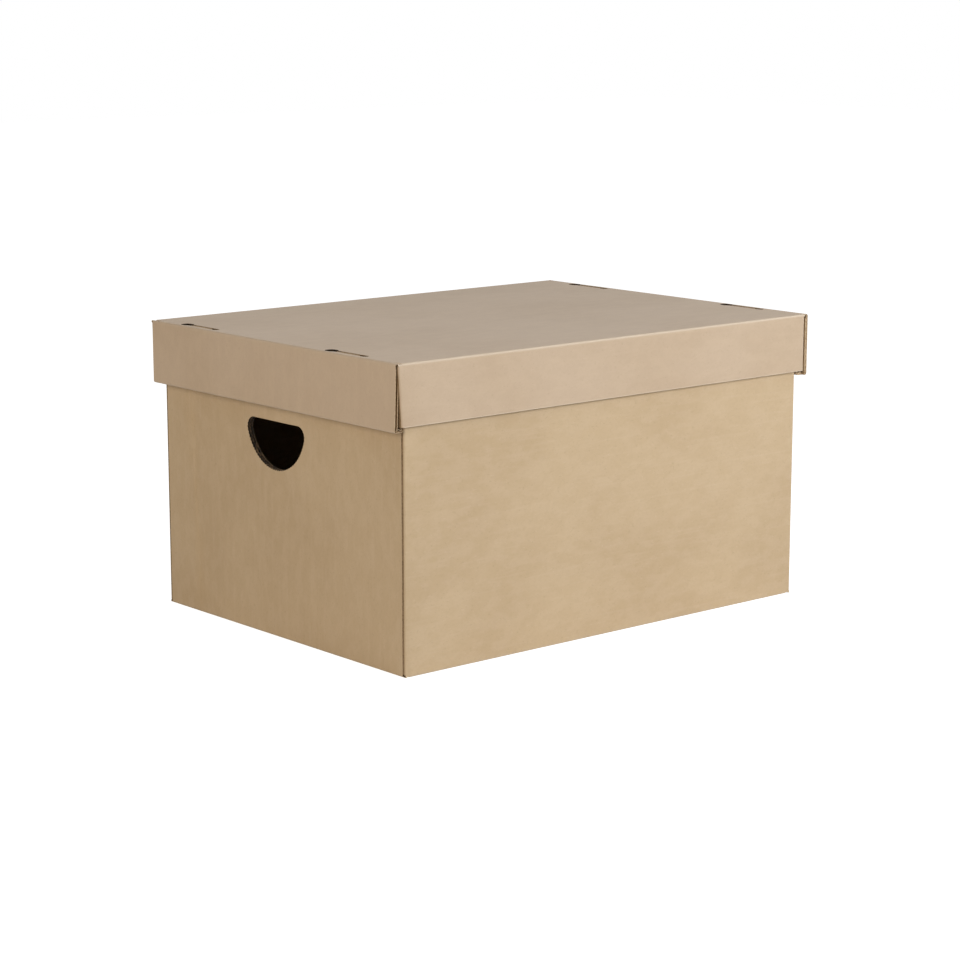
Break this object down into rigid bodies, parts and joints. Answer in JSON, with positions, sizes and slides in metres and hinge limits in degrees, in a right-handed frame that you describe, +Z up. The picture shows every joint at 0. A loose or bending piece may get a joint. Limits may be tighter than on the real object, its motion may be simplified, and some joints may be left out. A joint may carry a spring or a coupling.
{
  "type": "archive box",
  "caption": "Corrugated kraft archive box with roll-over locked ends, push-in hand-hole flaps and a deep lift-off lid.",
  "frame": {"origin": "middle of the base's underside, on the surface that the box stands on", "axes": "+X along the long side, to the right end; -Y is the front long side; +Z up"},
  "size_m": [0.4612, 0.338, 0.25],
  "materials": {
    "kraft_side": "matt brown kraft liner, lit long sides",
    "kraft_end": "matt brown kraft liner, ends",
    "kraft_top": "matt brown kraft liner, lid top",
    "kraft_inside": "matt brown kraft liner, inner faces and flaps"
  },
  "bodies": {
    "base": {"base_floor": "kraft_inside", "base_front_wall": "kraft_side", "base_back_wall": "kraft_side", "base_left_outer_end": "kraft_end", "base_right_outer_end": "kraft_end", "base_left_rim": "kraft_end", "base_right_rim": "kraft_end", "base_left_inner_end": "kraft_inside", "base_right_inner_end": "kraft_inside", "base_front_left_corner_flap": "kraft_inside", "base_front_right_corner_flap": "kraft_inside", "base_back_left_corner_flap": "kraft_inside", "base_back_right_corner_flap": "kraft_inside"},
    "lid": {"lid_top": "kraft_top", "lid_front_wall": "kraft_side", "lid_back_wall": "kraft_side", "lid_left_outer_end": "kraft_end", "lid_right_outer_end": "kraft_end", "lid_left_rim": "kraft_end", "lid_right_rim": "kraft_end", "lid_left_inner_end": "kraft_inside", "lid_right_inner_end": "kraft_inside", "lid_front_left_corner_flap": "kraft_inside", "lid_front_right_corner_flap": "kraft_inside", "lid_back_left_corner_flap": "kraft_inside", "lid_back_right_corner_flap": "kraft_inside"},
    "left_hand_flap": {"left_hand_flap": "kraft_inside"},
    "right_hand_flap": {"right_hand_flap": "kraft_inside"}
  },
  "joints": [
    {"name": "lid_lift", "type": "slide", "parent": "base", "child": "lid", "axis": [0, 0, 1], "range_m": [0, 0.32]},
    {"name": "left_hand_flap_fold", "type": "hinge", "parent": "base", "child": "left_hand_flap", "pos_m": [-0.21025, 0, 0.1822], "axis": [0, 1, 0], "range_deg": [0, 180]},
    {"name": "right_hand_flap_fold", "type": "hinge", "parent": "base", "child": "right_hand_flap", "pos_m": [0.21025, 0, 0.1822], "axis": [0, -1, 0], "range_deg": [0, 180]}
  ]
}
